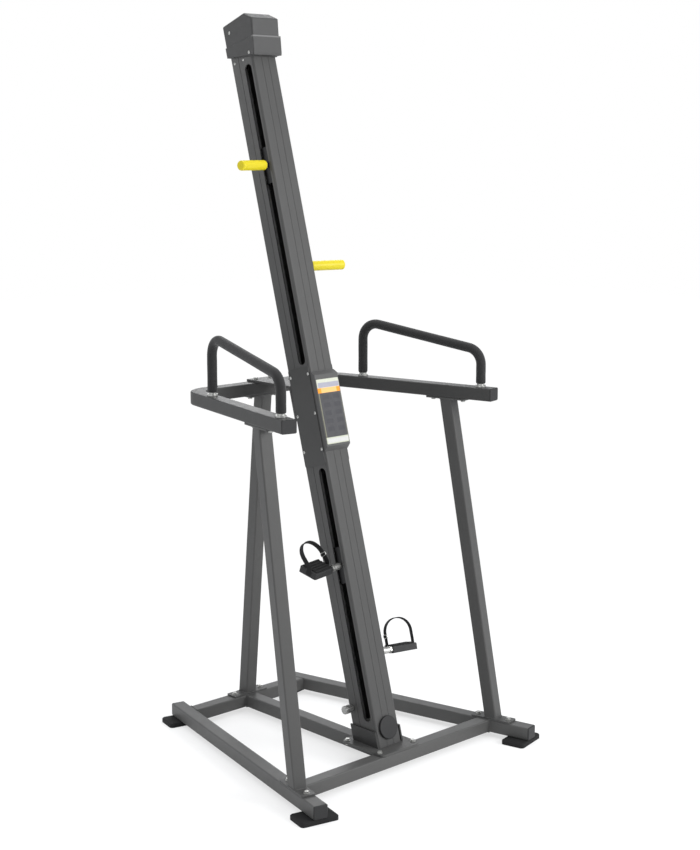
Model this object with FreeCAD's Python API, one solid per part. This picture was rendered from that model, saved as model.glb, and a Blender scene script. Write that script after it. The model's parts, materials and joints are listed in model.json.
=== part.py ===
"""Stair climber: a leaning mast with two counter-moving handle and pedal slides.

Frame: +X to the user's right, +Y away from the user, +Z up.  The origin is the
middle of the footprint on the floor.  Millimetres and degrees throughout.
"""
import FreeCAD, Part
import math
import os
from FreeCAD import Placement, Rotation, Vector

os.makedirs("parts", exist_ok=True)

# ---- Base frame ----------------------------------------------------------------------
base_run = 1006.0            # front to rear between the side rails' ends
front_track = 960.0          # between the side rails at their front ends
rear_track = 494.0           # between the side rails at their rear ends
rail_width = 48.0
rail_height = 44.0
tube_wall = 3.0
tube_corner = 5.0            # outer corner radius of every square tube
front_cross_inset = 162.0    # front end of the rails to the front cross tube's middle
rear_cross_inset = 83.0      # rear end of the rails to the rear cross tube's middle
cap_plate = 4.0              # visible thickness of a tube end cap
cap_plug = 16.0              # depth of the cap's plug inside the tube
plug_play = 0.2              # gap round the plug

# ---- Rubber feet ---------------------------------------------------------------------
foot_width = 130.0           # across the rail
foot_length = 84.0           # along the rail
foot_height = 15.0
foot_corner = 12.0
foot_bevel = 3.0

# ---- Handrail frame and legs ---------------------------------------------------------
arm_front_half = 450.0       # half the distance between the arms' front ends
arm_corner_half = 301.0      # half the distance between the frame's rear corners
arm_front_y = -336.0
crossbar_y = 317.0
arm_low = 1158.0             # underside of the arms
arm_width = 52.0
arm_height = 43.0
arm_bend = 72.0              # bend radius of the rear corners, on the centreline
leg_size = 45.0
leg_foot_inset = 141.0       # front end of the rails to the middle of a front leg's foot
leg_head_y = -167.0          # front legs, centre of the head under the arm
plate_thick = 6.0            # leg foot and head plates
plate_length = 150.0
plate_bolt_pitch = 116.0

# ---- Handrail loops ------------------------------------------------------------------
loop_rear_y = 171.0
loop_front_y = -289.0
loop_rear_rise = 194.0       # corner height above the arm, at the rear post
loop_front_rise = 122.0      # corner height above the arm, at the front post
loop_bend = 55.0
loop_tube_radius = 12.5
loop_tube_wall = 2.0
grip_thick = 3.5             # foam sleeve on the loop
grip_play = 0.1
grip_clear = 12.0            # bare post between the arm and the sleeve
collar_radius = 17.0
collar_height = 7.0

# ---- Mast ----------------------------------------------------------------------------
mast_lean = 15.33            # from the vertical, away from the user
mast_foot_inset = 171.0      # front end of the rails to the mast's front face at the floor
mast_width = 102.0
mast_depth = 113.0
mast_wall = 4.0
mast_corner = 8.0
mast_top = 2486.0            # along the mast from the floor point
slot_depth = 32.0            # slot centreline behind the front face
slot_width = 34.0
lower_slot = (158.0, 999.0)
upper_slot = (1343.0, 2351.0)
groove_width = 3.0
groove_deep = 0.8
front_groove_x = 14.0
side_groove_depth = 72.0     # side groove centreline behind the front face

# ---- Mast shoe and bracket -----------------------------------------------------------
shoe_plate = 8.0
shoe_width = 176.0
shoe_front_margin = 33.0     # shoe plate ahead of the mast's floor point
shoe_rear_margin = 162.0     # shoe plate behind the mast's floor point
shoe_bolt_x = 75.0
shoe_bolt_inset = 18.0       # rear bolts, from the plate's rear edge
cheek_thick = 6.0
cheek_height = 52.0
cheek_play = 0.2
bracket_thick = 8.0
bracket_width = 100.0
bracket_drop = 110.0         # length of the flange down the mast's rear face
gusset_leg = 60.0
gusset_thick = 6.0

# ---- Slides inside the mast ----------------------------------------------------------
pedal_middle = 521.5         # pedals level: height of both axles along the mast
pedal_offset = 153.5         # the left pedal stands this much above, the right below
pedal_lowest = 195.0         # lower end of the travel
handle_spacing = 1300.0      # from pedal axle to handle, on the lowest hole
handle_hole_pitch = 37.0
handle_holes = 4
left_handle_hole = 1         # the left handle sits one hole higher than the right
rod_inner = 9.0              # slide rod, distance of its inner face from the middle
rod_thick = 6.0
rod_width = 30.0
rod_tail = 50.0              # rod below the pedal axle
rod_head = 20.0              # rod above its top hole
carriage_thick = 28.0
carriage_round = 4.0
carriage_depth = 42.0
carriage_length = 120.0
glide_width = 9.0            # across the mast
glide_length = 24.0
glide_inset = 6.0            # from the carriage's end to the glide
running_play = 0.3           # between moving faces
shaft_play = 0.05            # radial, in a running bore
guide_front = 56.0           # front face of the guide bars, behind the mast's face
guide_thick = 8.0
guide_width = 13.5
bumper_height = 22.0
bumper_play = 0.5

# ---- Belt drive ----------------------------------------------------------------------
low_wheel_along = 128.0
high_wheel_drop = 48.0       # upper wheel's middle below the mast's top
belt_width = 20.0
belt_thick = 3.0
belt_depth = 78.0            # middle of the belt behind the mast's face
wheel_radius = 24.0          # rim under the belt
flange_radius = 30.0
flange_thick = 2.0
hub_radius = 12.0
web_thick = 6.0
wheel_axle_radius = 7.5
axle_head = 5.0
axle_head_radius = 11.0
clamp_wall = 3.4
clamp_length = 60.0
clamp_reach = 12.0           # clamp past the belt's rear edge

# ---- Handles and pedals --------------------------------------------------------------
toe_out = 13.0               # handles and pedals point outwards by this angle
handle_bar_radius = 9.0
handle_tip = 136.0           # from the mast's side to the grip's end, along the bar
handle_grip_radius = 16.5
handle_grip_start = 12.0
handle_collar = 6.0          # steel collar between mast and grip
handle_collar_radius = 13.5
grip_end_round = 6.0
axle_radius = 8.0
axle_collar_radius = 11.0
axle_collar_start = 5.0
spindle_radius = 6.5         # thinner end of the axle inside the pedal
spindle_reach = 60.0         # depth of the pedal's blind bore
pedal_inner = 48.0           # from the mast's side to the pedal's inner side
pedal_width = 98.0
pedal_length = 68.0
pedal_forward = 24.0         # middle of the platform ahead of the axle
pedal_thick = 22.0
pedal_corner = 6.0
pedal_edge = 3.0             # rounding round the platform's top
pedal_drop = 2.0             # middle of the platform below the axle
tread_inset = 7.0
tread_thick = 1.5
tread_ribs = 5
tread_rib_width = 5.0
tread_rib_rise = 2.5
left_pedal_tilt = 18.0       # toe up
right_pedal_tilt = -16.0     # toe down
strap_width = 17.0
strap_thick = 3.0
strap_rise = 92.0            # from the platform's top to the crown, along the strap's lean
strap_bend = 48.0
strap_forward = 20.0         # middle of the strap ahead of the axle
strap_tab = 17.0             # length of the tabs on the platform's sides
left_strap_lean = 55.0       # the slack strap falls to the toe
right_strap_lean = 4.0
nut_flats = 19.0
nut_thick = 5.0

# ---- Covers and console --------------------------------------------------------------
cover_low = 1008.0
cover_high = 1336.0
cover_thick = 2.0
cover_edge = 5.0             # from the mast's front and rear faces to the cover
console_low = 1050.0
console_high = 1315.0
console_rise = 16.0
console_bevel = 14.0
wheel_cap_radius = 38.0
wheel_cap_rise = 9.0
wheel_cap_wall = 2.0
console_wall = 3.0
panel_half = 48.0
panel_low = 1071.0
panel_high = 1285.0
panel_thick = 1.0
panel_corner = 3.0
housing_wall = 4.0
housing_half = 57.5          # half width above the ledge
housing_ledge = 3.0          # the lower part stands out this much all round
housing_play = 0.2
housing_round = 6.0          # rounding of the upper part's outline
housing_ledge_round = 2.0
housing_front_rise = 27.0    # front of the crown above the mast's top
housing_rear_rise = 17.0     # rear of the crown above the mast's top
housing_ledge_drop = 56.0    # the ledge below the mast's top
housing_chin_drop = 110.0    # the nose's lowest line below the mast's top
housing_front_drop = 118.0   # lower edge at the mast's front face
housing_rear_drop = 90.0     # lower edge at the rear
housing_nose = 38.0          # how far the shoulder stands before the mast
housing_waist = 28.0         # the same just above the ledge
housing_chin = 19.0          # the same at its lower edge

# ---- Pull pin ------------------------------------------------------------------------
pin_along = 205.0
pin_depth = 97.0
pin_radius = 5.0
pin_reach = 22.0             # distance of the pin's tip from the middle
pin_spigot = 2.0             # how much thinner the barrel is in the wall
pin_barrel_radius = 9.0
pin_barrel_length = 12.0
knob_radius = 14.0
knob_length = 24.0
knob_flutes = 10
knob_flute_radius = 2.5

# ---- Fasteners -----------------------------------------------------------------------
bolt_radius = 4.0
bolt_hole_play = 0.25
bolt_head_flats = 13.0
bolt_head = 5.5
washer_radius = 9.0
washer_thick = 1.6
screw_radius = 2.5
screw_head_radius = 5.0
screw_head = 2.8
screw_grip = 8.0             # length of screw under the head
cover_screw_along = (1060.0, 1180.0, 1310.0)
cover_screw_inset = 7.0
housing_screw_depth = 87.0   # screw at the crown, behind the mast's front face
housing_screw_drop = 13.0    # the same below the mast's top
chin_screw_depth = 4.0
chin_screw_drop = 104.0
mast_screw_depths = (50.0, 95.0)
mast_screw_drop = 114.0

UP = Vector(0, 0, 1)
SIDES = (("left", -1), ("right", 1))

front_cross_y = front_cross_inset - base_run / 2
rear_cross_y = base_run / 2 - rear_cross_inset
leg_foot_y = leg_foot_inset - base_run / 2
mast_foot_y = mast_foot_inset - base_run / 2
shoe_front_y = mast_foot_y - shoe_front_margin
shoe_rear_y = mast_foot_y + shoe_rear_margin
rail_mid = foot_height + rail_height / 2
rail_top = foot_height + rail_height
arm_mid = arm_low + arm_height / 2
arm_top = arm_low + arm_height
mast_half = mast_width / 2
mast_inner = mast_half - mast_wall
high_wheel_along = mast_top - high_wheel_drop
MAST = Placement(Vector(0, mast_foot_y, 0), Rotation(Vector(1, 0, 0), -mast_lean))


# ---- Tools for shapes ----------------------------------------------------------------
def rounded_rectangle(width, height, radius):
    """Closed wire centred on the origin of the XY plane."""
    x, y = width / 2 - radius, height / 2 - radius
    centres = ((x, y), (-x, y), (-x, -y), (x, -y))
    arcs = []
    for turn, (cx, cy) in enumerate(centres):
        marks = [math.radians(90 * turn + step) for step in (0, 45, 90)]
        arcs.append([Vector(cx + radius * math.cos(a), cy + radius * math.sin(a), 0)
                     for a in marks])
    edges = []
    for turn, arc in enumerate(arcs):
        edges.append(Part.Arc(*arc).toShape())
        edges.append(Part.LineSegment(arc[2], arcs[(turn + 1) % 4][0]).toShape())
    return Part.Wire(edges)


def circle(radius):
    """Closed round wire on the origin of the XY plane."""
    return Part.Wire([Part.Circle(Vector(), UP, radius).toShape()])


def prism(wire, length):
    return Part.Face(wire).extrude(Vector(0, 0, length))


def polygon_prism(points, direction):
    """Flat outline through the points, extruded along a vector."""
    return Part.Face(Part.makePolygon(list(points) + [points[0]])).extrude(direction)


def stand(shape, foot, along, up=UP):
    """Turn a shape's Z to along and its Y towards up, and put its origin at foot."""
    z = Vector(along).normalize()
    x = up.cross(z).normalize()
    turned = shape.copy()
    turned.Placement = Placement(foot, Rotation(x, z.cross(x), z, "ZXY"))
    return turned


def fused(shapes):
    shapes = list(shapes)
    return shapes[0].multiFuse(shapes[1:]).removeSplitter()


def box(x, y, z):
    """Box between pairs of limits."""
    size = [high - low for low, high in (x, y, z)]
    return Part.makeBox(size[0], size[1], size[2], Vector(x[0], y[0], z[0]))


def mirrored_pair(low, high, sign):
    """Limits along X on one side of the middle, given from the middle outwards."""
    return (low, high) if sign > 0 else (-high, -low)


def rod(foot, along, radius, length):
    return Part.makeCylinder(radius, length, foot, along)


def on_mast(shape):
    """Put a shape drawn in mast axes (X, depth, along) where the mast stands."""
    placed = shape.copy()
    placed.Placement = MAST.multiply(shape.Placement)
    return placed


def mast_point(x, depth, along):
    return MAST.multVec(Vector(x, depth, along))


def bent_bar(points, radius, section, up=UP):
    """Bar with a given section along straight runs joined by tangent arcs."""
    pieces = []
    start = points[0]
    for index in range(1, len(points)):
        ahead = (points[index] - points[index - 1]).normalize()
        face = stand(Part.Face(section), start, ahead, up)
        if index == len(points) - 1:
            pieces.append(face.extrude(points[index] - start))
            break
        after = (points[index + 1] - points[index]).normalize()
        turn = ahead.getAngle(after)
        run_end = points[index] - ahead * (radius * math.tan(turn / 2))
        pieces.append(face.extrude(run_end - start))
        inward = (after - ahead * ahead.dot(after)).normalize()
        elbow = stand(Part.Face(section), run_end, ahead, up)
        pieces.append(elbow.revolve(run_end + inward * radius, ahead.cross(inward),
                                    math.degrees(turn)))
        start = points[index] + after * (radius * math.tan(turn / 2))
    return fused(pieces)


def square_tube(start, end, width, height, up=UP, wall=tube_wall):
    """Straight rectangular tube, open at both ends."""
    length = (end - start).Length
    outer = prism(rounded_rectangle(width, height, tube_corner), length)
    bore = prism(rounded_rectangle(width - 2 * wall, height - 2 * wall,
                                   tube_corner - wall), length)
    return stand(outer.cut(bore), start, end - start, up)


def hexagon(flats, low, length):
    circumradius = flats / math.sqrt(3)
    corners = [Vector(circumradius * math.cos(math.radians(angle)),
                      circumradius * math.sin(math.radians(angle)), low)
               for angle in range(0, 360, 60)]
    return polygon_prism(corners, Vector(0, 0, length))


# ---- Bolts and screws ----------------------------------------------------------------
def hex_bolt(seat, outward, grip):
    """Bolt with its washer on a seat; the shank runs inwards for the grip length."""
    head = hexagon(bolt_head_flats, washer_thick, bolt_head)
    washer = prism(circle(washer_radius), washer_thick)
    shank = rod(Vector(0, 0, -grip), UP, bolt_radius, grip)
    side_up = Vector(1, 0, 0) if abs(outward.x) < 0.9 else UP
    return stand(fused([head, washer, shank]), seat, outward, side_up)


def bolt_hole(seat, outward, grip):
    return rod(seat - outward * grip, outward, bolt_radius + bolt_hole_play, grip)


def panel_screw(seat, outward):
    """Domed screw head with a short shank into the panel."""
    dome_radius = (screw_head_radius ** 2 + screw_head ** 2) / (2 * screw_head)
    ball = Part.makeSphere(dome_radius, Vector(0, 0, screw_head - dome_radius))
    head = ball.common(rod(Vector(), UP, screw_head_radius, screw_head))
    shank = rod(Vector(0, 0, -screw_grip), UP, screw_radius, screw_grip)
    side_up = Vector(0, 0, 1) if abs(outward.z) < 0.9 else Vector(1, 0, 0)
    return stand(fused([head, shank]), seat, outward, side_up)


def screw_hole(seat, outward):
    return rod(seat - outward * screw_grip, outward, screw_radius + bolt_hole_play,
               screw_grip)


def drilled(shape, holes):
    return shape.cut(Part.makeCompound(holes))


# ---- Places along the rails and arms -------------------------------------------------
def rail_point(sign, y, z):
    share = (base_run / 2 - y) / base_run
    half = (rear_track + (front_track - rear_track) * share) / 2
    return Vector(sign * half, y, z)


def arm_point(sign, y, z):
    share = (crossbar_y - y) / (crossbar_y - arm_front_y)
    return Vector(sign * (arm_corner_half + (arm_front_half - arm_corner_half) * share), y, z)


def rail_direction(sign):
    return (rail_point(sign, base_run / 2, 0) - rail_point(sign, -base_run / 2, 0)).normalize()


def arm_direction(sign):
    return (arm_point(sign, crossbar_y, 0) - arm_point(sign, arm_front_y, 0)).normalize()


def plate_bolts(centre, heading, outward):
    """The two bolts of a leg plate: seat, outward direction and grip."""
    grip = plate_thick + tube_wall + bolt_radius
    return [(centre + heading * (step * plate_bolt_pitch / 2) + outward * plate_thick,
             outward, grip) for step in (-1, 1)]


def leg_ends():
    """Foot point, head point and the plates' headings of the three legs."""
    legs = {}
    for side, sign in SIDES:
        legs["front_leg_" + side] = (rail_point(sign, leg_foot_y, rail_top),
                                     arm_point(sign, leg_head_y, arm_low),
                                     rail_direction(sign), arm_direction(sign))
    across = Vector(1, 0, 0)
    legs["rear_leg"] = (Vector(0, rear_cross_y, rail_top), Vector(0, crossbar_y, arm_low),
                        across, across)
    return legs


def leg_bolts():
    sites = []
    for foot, head, low_heading, high_heading in leg_ends().values():
        sites += plate_bolts(foot, low_heading, UP)
        sites += plate_bolts(head, high_heading, -UP)
    return sites


def shoe_bolts():
    grip = shoe_plate + tube_wall + bolt_radius
    seat = rail_top + shoe_plate
    return [(Vector(x, y, seat), UP, grip) for x in (-shoe_bolt_x, shoe_bolt_x)
            for y in (front_cross_y, shoe_rear_y - shoe_bolt_inset)]


def shoe_fasteners():
    """The shoe's bolts, with nuts under the plate where it overhangs the frame."""
    parts = [hex_bolt(*site) for site in shoe_bolts()]
    for x in (-shoe_bolt_x, shoe_bolt_x):
        foot = Vector(x, shoe_rear_y - shoe_bolt_inset, rail_top)
        nut = hexagon(bolt_head_flats, -bolt_head, bolt_head)
        nut = nut.cut(rod(Vector(0, 0, -bolt_head), UP, bolt_radius, bolt_head))
        nut.translate(foot)
        parts.append(nut)
    return Part.makeCompound(parts)


def bracket_bolts():
    """Two bolts into the crossbar and four into the mast's rear face."""
    step = bracket_width / 2 - 2 * washer_radius
    sites = [(Vector(x, crossbar_y, arm_top + bracket_thick), UP,
              bracket_thick + tube_wall + bolt_radius) for x in (-step, step)]
    rearward = MAST.Rotation.multVec(Vector(0, 1, 0))
    top = bracket_along()
    for x in (-step, step):
        for drop in (bracket_drop * 0.35, bracket_drop * 0.8):
            seat = mast_point(x, mast_depth + bracket_thick, top - drop)
            sites.append((seat, rearward, bracket_thick + mast_wall + bolt_radius))
    return sites


def bracket_along():
    """Distance along the mast of its rear face at the height of the arms' tops."""
    lean = math.radians(mast_lean)
    return (arm_top + mast_depth * math.sin(lean)) / math.cos(lean)


# ---- Base frame ----------------------------------------------------------------------
def base_rail(sign):
    start = rail_point(sign, -base_run / 2, rail_mid)
    end = rail_point(sign, base_run / 2, rail_mid)
    tube = square_tube(start, end, rail_width, rail_height)
    return drilled(tube, [bolt_hole(*site) for site in leg_bolts()])


def rail_envelope(sign):
    start = rail_point(sign, -base_run / 2, rail_mid)
    end = rail_point(sign, base_run / 2, rail_mid)
    bar = prism(rounded_rectangle(rail_width, rail_height, tube_corner), (end - start).Length)
    return stand(bar, start, end - start)


def cross_tube(y):
    """Tube between the two side rails, its ends coped to their inner faces."""
    tube = square_tube(rail_point(-1, y, rail_mid), rail_point(1, y, rail_mid),
                       rail_width, rail_height)
    tube = tube.cut(rail_envelope(-1)).cut(rail_envelope(1))
    middle = min(tube.Solids, key=lambda solid: abs(solid.CenterOfMass.x))
    return drilled(middle, [bolt_hole(*site) for site in leg_bolts() + shoe_bolts()])


def centre_rail():
    half = rail_width / 2
    return square_tube(Vector(0, front_cross_y + half, rail_mid),
                       Vector(0, rear_cross_y - half, rail_mid), rail_width, rail_height)


def end_cap(end, outward, width, height):
    """Plastic cap: a rimmed plate on the tube's end and a plug inside it."""
    inset = 2 * (tube_wall + plug_play)
    rim = prism(rounded_rectangle(width, height, tube_corner), cap_plate / 2)
    crown = cap_crown(width, height)
    plug = prism(rounded_rectangle(width - inset, height - inset,
                                   max(tube_corner - inset / 2, 0.5)), cap_plug)
    plug.translate(Vector(0, 0, -cap_plug))
    crown.translate(Vector(0, 0, cap_plate / 2))
    return stand(fused([rim, crown, plug]), end, outward)


def cap_crown(width, height):
    """The cap's outer half: the outline drawn in by a bevel over half the plate."""
    low = rounded_rectangle(width, height, tube_corner)
    high = rounded_rectangle(width - cap_plate, height - cap_plate,
                             tube_corner - cap_plate / 2)
    high.translate(Vector(0, 0, cap_plate / 2))
    return Part.makeLoft([low, high], True)


def tube_end_caps():
    caps = []
    for _, sign in SIDES:
        along = rail_direction(sign)
        caps.append(end_cap(rail_point(sign, -base_run / 2, rail_mid), -along,
                            rail_width, rail_height))
        caps.append(end_cap(rail_point(sign, base_run / 2, rail_mid), along,
                            rail_width, rail_height))
        caps.append(end_cap(arm_point(sign, arm_front_y, arm_mid), -arm_direction(sign),
                            arm_width, arm_height))
    return Part.makeCompound(caps)


def foot_pad(centre, heading):
    """Rubber foot with a bevelled top edge."""
    low = rounded_rectangle(foot_width, foot_length, foot_corner)
    body = prism(low, foot_height - foot_bevel)
    high = rounded_rectangle(foot_width - 2 * foot_bevel, foot_length - 2 * foot_bevel,
                             foot_corner - foot_bevel)
    low.translate(Vector(0, 0, foot_height - foot_bevel))
    high.translate(Vector(0, 0, foot_height))
    return stand(fused([body, Part.makeLoft([low, high], True)]), centre, UP, heading)


def foot_pads():
    pads = []
    inset = foot_length / 2 - cap_plate
    for _, sign in SIDES:
        along = rail_direction(sign)
        for end, inward in ((-base_run / 2, along), (base_run / 2, -along)):
            pads.append(foot_pad(rail_point(sign, end, 0) + inward * inset, along))
    return Part.makeCompound(pads)


# ---- Legs and handrail frame ---------------------------------------------------------
def leg_plate(seat, heading, outward):
    """Plate against a rail or arm; outward points away from it."""
    plate = prism(rounded_rectangle(rail_width, plate_length, tube_corner), plate_thick)
    return stand(plate, seat, outward, heading)


def leg(foot, head, low_heading, high_heading):
    """Leaning square tube between two level plates."""
    reach = (head - foot).normalize() * leg_size
    tube = square_tube(foot - reach, head + reach, leg_size, leg_size, low_heading)
    span = foot_width + abs(head.y - foot.y) + leg_size
    window = box((foot.x - span, foot.x + span), (foot.y - span, foot.y + span),
                 (foot.z + plate_thick, head.z - plate_thick))
    body = fused([tube.common(window), leg_plate(foot, low_heading, UP),
                  leg_plate(head, high_heading, -UP)])
    holes = plate_bolts(foot, low_heading, UP) + plate_bolts(head, high_heading, -UP)
    return drilled(body, [bolt_hole(*site) for site in holes])


def handrail_frame():
    """One bent tube: two splayed arms and the crossbar behind the mast."""
    path = [arm_point(-1, arm_front_y, arm_mid), arm_point(-1, crossbar_y, arm_mid),
            arm_point(1, crossbar_y, arm_mid), arm_point(1, arm_front_y, arm_mid)]
    outer = bent_bar(path, arm_bend, rounded_rectangle(arm_width, arm_height, tube_corner))
    bore = bent_bar(path, arm_bend, rounded_rectangle(
        arm_width - 2 * tube_wall, arm_height - 2 * tube_wall, tube_corner - tube_wall))
    sites = leg_bolts() + bracket_bolts()[:2]
    return drilled(outer.cut(bore), [bolt_hole(*site) for site in sites])


def loop_path(sign, lift):
    """Corner points of a handrail loop; its posts start lift above the arm."""
    rear = arm_point(sign, loop_rear_y, arm_top)
    front = arm_point(sign, loop_front_y, arm_top)
    return [rear + UP * lift, rear + UP * loop_rear_rise,
            front + UP * loop_front_rise, front + UP * lift]


def handrail_loop(sign):
    """Bent round tube with a collar at the foot of each post."""
    path = loop_path(sign, 0)
    across = arm_direction(sign).cross(UP)
    outer = bent_bar(path, loop_bend, circle(loop_tube_radius), across)
    collars = [rod(path[end], UP, collar_radius, collar_height) for end in (0, -1)]
    bore = bent_bar(path, loop_bend, circle(loop_tube_radius - loop_tube_wall), across)
    return fused([outer] + collars).cut(bore)


def handrail_grip(sign):
    """Foam sleeve over the loop, short of the collars."""
    path = loop_path(sign, grip_clear)
    across = arm_direction(sign).cross(UP)
    inner = loop_tube_radius + grip_play
    sleeve = bent_bar(path, loop_bend, circle(inner + grip_thick), across)
    return sleeve.cut(bent_bar(path, loop_bend, circle(inner), across))


# ---- Mast ----------------------------------------------------------------------------
def mast_slot(sign, limits):
    """Cutter for one side slot with round ends, in mast axes."""
    half = slot_width / 2
    x = mirrored_pair(mast_inner - mast_wall, mast_half + mast_wall, sign)
    middle = box(x, (slot_depth - half, slot_depth + half),
                 (limits[0] + half, limits[1] - half))
    ends = [Part.makeCylinder(half, x[1] - x[0], Vector(x[0], slot_depth, along),
                              Vector(1, 0, 0))
            for along in (limits[0] + half, limits[1] - half)]
    return fused([middle] + ends)


def mast_grooves():
    """Shallow grooves down the front and side faces of the extrusion."""
    half = groove_width / 2
    length = (-mast_wall, mast_top + mast_wall)
    cutters = []
    for _, sign in SIDES:
        x = sign * front_groove_x
        cutters.append(box((x - half, x + half), (-mast_wall, groove_deep), length))
        side = mirrored_pair(mast_half - groove_deep, mast_half + mast_wall, sign)
        cutters.append(box(side, (side_groove_depth - half, side_groove_depth + half), length))
    return cutters


def pin_hole():
    return Part.makeCylinder(pin_barrel_radius - pin_spigot, 2 * mast_wall,
                             Vector(-mast_half - mast_wall / 2, pin_depth, pin_along),
                             Vector(1, 0, 0))


def axle_holes():
    """Through bores for the two wheel axles, front to rear."""
    return [Part.makeCylinder(wheel_axle_radius, mast_depth + 2 * mast_wall,
                              Vector(0, -mast_wall, along), Vector(0, 1, 0))
            for along in (low_wheel_along, high_wheel_along)]


def mast_tube():
    outer = prism(rounded_rectangle(mast_width, mast_depth, mast_corner), mast_top)
    bore = prism(rounded_rectangle(mast_width - 2 * mast_wall, mast_depth - 2 * mast_wall,
                                   mast_corner - mast_wall), mast_top)
    tube = outer.cut(bore)
    tube.translate(Vector(0, mast_depth / 2, 0))
    cutters = mast_grooves() + axle_holes() + [pin_hole()]
    for _, sign in SIDES:
        cutters += [mast_slot(sign, lower_slot), mast_slot(sign, upper_slot)]
    tube = on_mast(tube.cut(Part.makeCompound(cutters)))
    floor = box((-mast_width, mast_width), (shoe_front_y - mast_depth, mast_depth),
                (-mast_depth, rail_top + shoe_plate))
    holes = [bolt_hole(*site) for site in bracket_bolts()[2:]]
    holes += [screw_hole(*site) for site in screw_sites()]
    return drilled(tube.cut(floor), holes)


def mast_shoe():
    """Base plate on the frame with a cheek on each side of the mast."""
    middle_y = (shoe_front_y + shoe_rear_y) / 2
    plate = prism(rounded_rectangle(shoe_width, shoe_rear_y - shoe_front_y, 4 * tube_corner),
                  shoe_plate)
    plate.translate(Vector(0, middle_y, rail_top))
    cheeks = []
    low = rail_top + shoe_plate
    for _, sign in SIDES:
        face = mast_half + cheek_play
        x = mirrored_pair(face, face + cheek_thick, sign)
        cheek = on_mast(box(x, (0, mast_depth), (0, 2 * cheek_height + mast_depth)))
        level = box((-shoe_width, shoe_width), (shoe_front_y, 0), (low, low + cheek_height))
        cheeks.append(cheek.common(level))
    return drilled(fused([plate] + cheeks), [bolt_hole(*site) for site in shoe_bolts()])


def mast_bracket():
    """Plate over the crossbar with a flange on the mast's rear face and two gussets."""
    half = bracket_width / 2
    top = bracket_along()
    corner = mast_point(0, mast_depth, top)
    skew = bracket_thick * math.tan(math.radians(mast_lean))
    run = (corner.y + skew, crossbar_y + arm_width / 2)
    plate = box((-half, half), run, (arm_top, arm_top + bracket_thick))
    flange = on_mast(box((-half, half), (mast_depth, mast_depth + bracket_thick),
                         (top - bracket_drop, top + bracket_thick)))
    ceiling = box((-bracket_width, bracket_width), (corner.y - bracket_width, run[1]),
                  (arm_top + bracket_thick, arm_top + bracket_width))
    edge = mast_point(0, mast_depth, top - gusset_leg)
    outline = [Vector(0, corner.y, arm_top), Vector(0, corner.y + gusset_leg, arm_top), edge]
    gusset = polygon_prism(outline, Vector(gusset_thick, 0, 0))
    gusset.translate(Vector(-gusset_thick / 2, 0, 0))
    body = fused([plate, flange.cut(ceiling), gusset])
    return drilled(body, [bolt_hole(*site) for site in bracket_bolts()])


def guide_bars():
    """Two bars on the side walls that the rear rollers run on."""
    bars = [box(mirrored_pair(mast_inner - guide_width, mast_inner, sign),
                (guide_front, guide_front + guide_thick), (lower_slot[0], upper_slot[1]))
            for _, sign in SIDES]
    return on_mast(Part.makeCompound(bars))


def stop_bumpers():
    """Rubber blocks on the front wall under the lower carriages."""
    high = pedal_lowest - carriage_length / 2 - bumper_play
    inner = rod_inner + rod_thick
    blocks = []
    for _, sign in SIDES:
        x = mirrored_pair(inner, inner + carriage_thick, sign)
        block = box(x, (mast_wall, slot_depth), (high - bumper_height, high))
        top = [edge for edge in block.Edges
               if edge.BoundBox.ZMin > high - running_play and edge.BoundBox.YMin > mast_wall]
        blocks.append(block.makeFillet(bumper_height / 5, top))
    return on_mast(Part.makeCompound(blocks))


# ---- Belt drive ----------------------------------------------------------------------
def racetrack(radius):
    """Closed outline round both wheels, in the plane of X and along."""
    low, high = low_wheel_along, high_wheel_along
    edges = [Part.LineSegment(Vector(radius, 0, low), Vector(radius, 0, high)).toShape(),
             Part.Arc(Vector(radius, 0, high), Vector(0, 0, high + radius),
                      Vector(-radius, 0, high)).toShape(),
             Part.LineSegment(Vector(-radius, 0, high), Vector(-radius, 0, low)).toShape(),
             Part.Arc(Vector(-radius, 0, low), Vector(0, 0, low - radius),
                      Vector(radius, 0, low)).toShape()]
    return Part.Wire(edges)


def drive_belt():
    inner = wheel_radius + running_play
    outer = Part.Face(racetrack(inner + belt_thick)).extrude(Vector(0, belt_width, 0))
    core = Part.Face(racetrack(inner)).extrude(Vector(0, belt_width, 0))
    belt = outer.cut(core)
    belt.translate(Vector(0, belt_depth - belt_width / 2, 0))
    return on_mast(belt)


def belt_wheel(along):
    """Flanged wheel: rim, web and hub on the axle."""
    half = belt_width / 2 + running_play + flange_thick
    low = -half
    profile = [(wheel_axle_radius + shaft_play, low), (hub_radius, low),
               (hub_radius, -web_thick / 2), (wheel_radius - web_thick / 2, -web_thick / 2),
               (wheel_radius - web_thick / 2, low), (flange_radius, low),
               (flange_radius, low + flange_thick), (wheel_radius, low + flange_thick)]
    mirrored = [(radius, -depth) for radius, depth in reversed(profile)]
    points = [Vector(radius, depth, 0) for radius, depth in profile + mirrored]
    face = Part.Face(Part.makePolygon(points + [points[0]]))
    wheel = face.revolve(Vector(), Vector(0, 1, 0), 360)
    wheel.translate(Vector(0, belt_depth, along))
    return on_mast(wheel)


def wheel_axle(along):
    """Shaft through both mast walls, with a round head on the front face."""
    shaft = rod(Vector(0, 0, along), Vector(0, 1, 0), wheel_axle_radius, mast_depth)
    head = rod(Vector(0, -axle_head, along), Vector(0, 1, 0), axle_head_radius, axle_head)
    gap = belt_width / 2 + running_play + flange_thick + running_play
    rear = mast_depth - mast_wall - belt_depth - gap
    spacers = [rod(Vector(0, belt_depth - gap - axle_head, along), Vector(0, 1, 0),
                   hub_radius, axle_head),
               rod(Vector(0, belt_depth + gap, along), Vector(0, 1, 0), hub_radius, rear)]
    return on_mast(fused([shaft, head] + spacers))


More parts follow.
